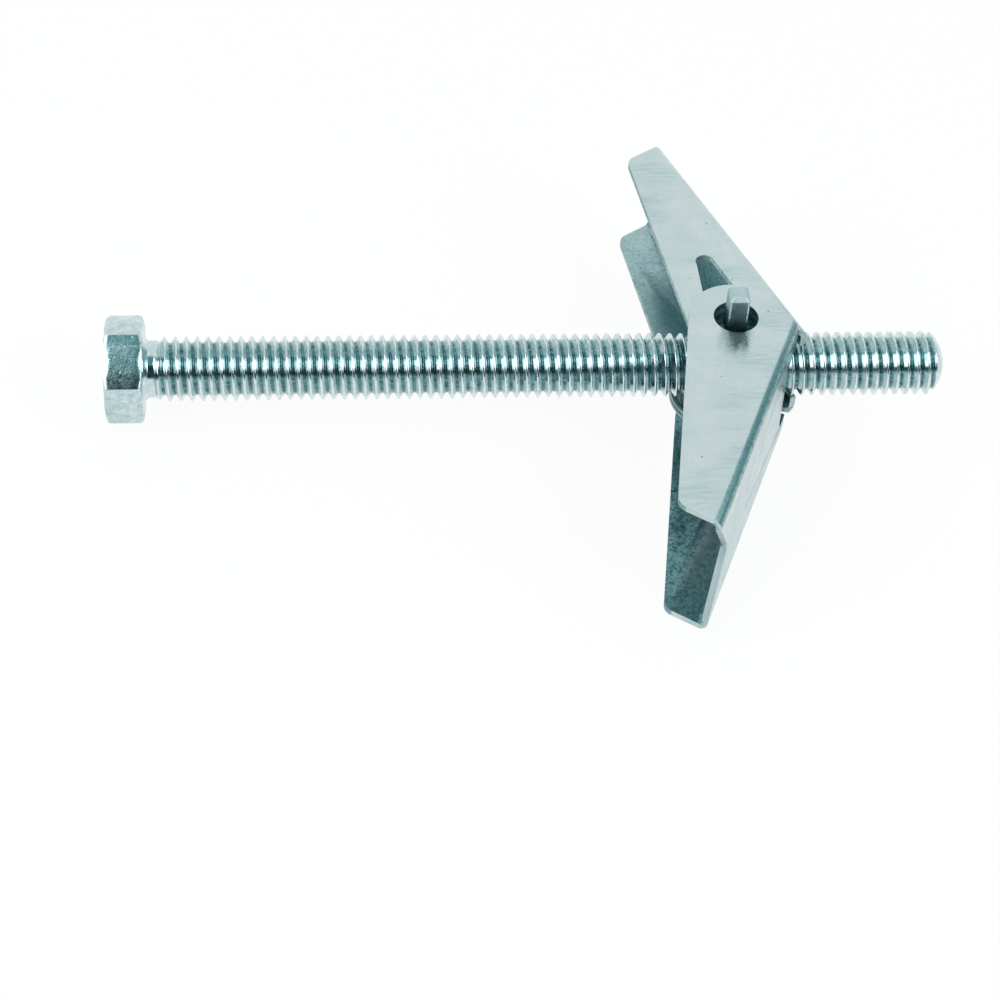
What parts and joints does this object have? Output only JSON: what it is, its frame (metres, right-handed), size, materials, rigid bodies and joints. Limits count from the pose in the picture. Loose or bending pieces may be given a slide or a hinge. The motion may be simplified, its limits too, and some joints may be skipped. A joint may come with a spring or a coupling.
{
  "type": "spring toggle bolt",
  "caption": "Hollow-wall toggle bolt: fully threaded hex-head screw, cross nut and folded sheet wings opened by a torsion spring.",
  "frame": {"origin": "centre of the screw at the underside of its head", "axes": "+X along the screw from head to tip; +Z along the nut's lugs, up as it lies on a table; +Y towards the inner wing"},
  "size_m": [0.0785, 0.0516, 0.0186],
  "materials": {
    "plated_steel": "bright blue-passivated zinc on cut thread and head",
    "nut_steel": "bright zinc",
    "plated_sheet": "bright blue-passivated zinc on folded sheet, fine spangle",
    "spring_wire": "drawn spring wire"
  },
  "bodies": {
    "screw": {"screw": "plated_steel"},
    "nut": {"nut": "nut_steel", "spring": "spring_wire"},
    "inner_wing": {"inner_wing": "plated_sheet"},
    "outer_wing": {"outer_wing": "plated_sheet"}
  },
  "joints": [
    {"name": "nut_travel", "type": "slide", "parent": "screw", "child": "nut", "axis": [1, 0, 0], "range_m": [-0.026, 0.016]},
    {"name": "inner_wing_fold", "type": "hinge", "parent": "nut", "child": "inner_wing", "pos_m": [0.0545, 0, 0], "axis": [0, 0, 1], "range_deg": [0, 68], "stiffness_Nm_per_rad": 0.02, "springref_deg": -40.11, "deforming": ["spring"]},
    {"name": "outer_wing_fold", "type": "hinge", "parent": "nut", "child": "outer_wing", "pos_m": [0.0545, 0, 0], "axis": [0, 0, -1], "range_deg": [0, 68], "stiffness_Nm_per_rad": 0.02, "springref_deg": -40.11, "deforming": ["spring"]}
  ]
}
